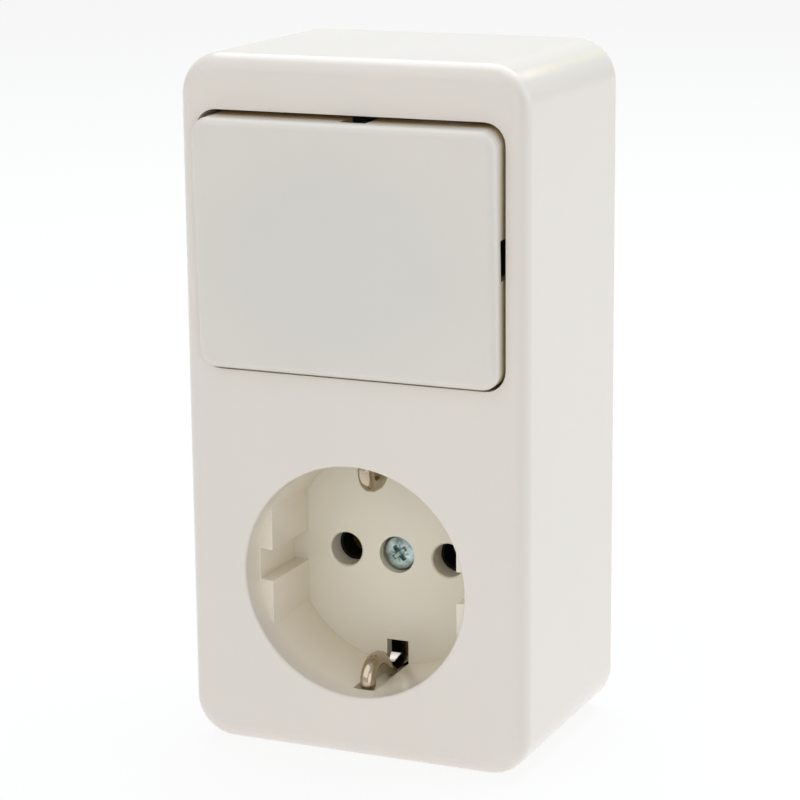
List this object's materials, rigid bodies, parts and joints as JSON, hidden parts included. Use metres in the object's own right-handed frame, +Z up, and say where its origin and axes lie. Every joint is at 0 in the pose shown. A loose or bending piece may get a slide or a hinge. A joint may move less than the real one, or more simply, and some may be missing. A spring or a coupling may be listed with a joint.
{
  "type": "switch and socket combination",
  "caption": "surface-mounted housing with a wide rocker switch above a recessed round two-pin power socket with sprung earth clips",
  "frame": {"origin": "middle of the back of the base plate, on the wall plane", "axes": "+X to the right seen from the front, -Y out of the wall to the front, +Z up"},
  "size_m": [0.061, 0.0453, 0.117],
  "materials": {
    "ivory": "satin cream white moulding",
    "rocker_ivory": "satin cream white moulding",
    "base_white": "matt off-white moulding",
    "grey_moulding": "matt dark grey moulding",
    "black_moulding": "matt black moulding",
    "nickel": "warm nickel-plated spring metal",
    "brass": "plain brass",
    "zinc_steel": "bluish zinc-plated steel",
    "spring_steel": "plain spring steel"
  },
  "bodies": {
    "housing": {"cover": "ivory", "base_plate": "base_white", "switch_body": "grey_moulding", "lower_contact": "brass", "upper_contact": "brass", "common_contact": "brass", "switch_screw_left": "zinc_steel", "switch_screw_right": "zinc_steel", "socket_base": "black_moulding", "pin_contact_left": "brass", "pin_contact_right": "brass", "earth_bracket": "nickel", "centre_screw": "zinc_steel", "socket_screw_upper": "zinc_steel", "socket_screw_lower": "zinc_steel", "switch_terminal_lower": "brass", "switch_terminal_lower_screw": "zinc_steel", "switch_terminal_upper": "brass", "switch_terminal_upper_screw": "zinc_steel", "switch_terminal_common": "brass", "switch_terminal_common_screw": "zinc_steel", "socket_terminal_left": "brass", "socket_terminal_left_screw": "zinc_steel", "socket_terminal_right": "brass", "socket_terminal_right_screw": "zinc_steel", "socket_terminal_earth": "brass", "socket_terminal_earth_screw": "zinc_steel"},
    "rocker_unit": {"rocker": "rocker_ivory", "rocker_cradle": "grey_moulding", "plunger_spring": "spring_steel"},
    "plunger_unit": {"plunger": "grey_moulding"},
    "arm_unit": {"contact_arm": "brass"}
  },
  "joints": [
    {"name": "rocker_tilt", "type": "hinge", "parent": "housing", "child": "rocker_unit", "pos_m": [0, -0.037, 0.028], "axis": [-1, 0, 0], "range_deg": [0, 4.4]},
    {"name": "contact_tilt", "type": "hinge", "parent": "housing", "child": "arm_unit", "pos_m": [0, -0.0248, 0.028], "axis": [1, 0, 0], "range_deg": [0, 16]},
    {"name": "plunger_slide", "type": "slide", "parent": "rocker_unit", "child": "plunger_unit", "axis": [0, -0.9993, -0.0384], "range_m": [0, 0.0006], "stiffness_N_per_m": 600, "springref_m": -0.002, "deforming": ["plunger_spring"]}
  ],
  "couplings": [
    {"joint": "contact_tilt", "follows": "rocker_tilt", "ratio": 3.63}
  ]
}
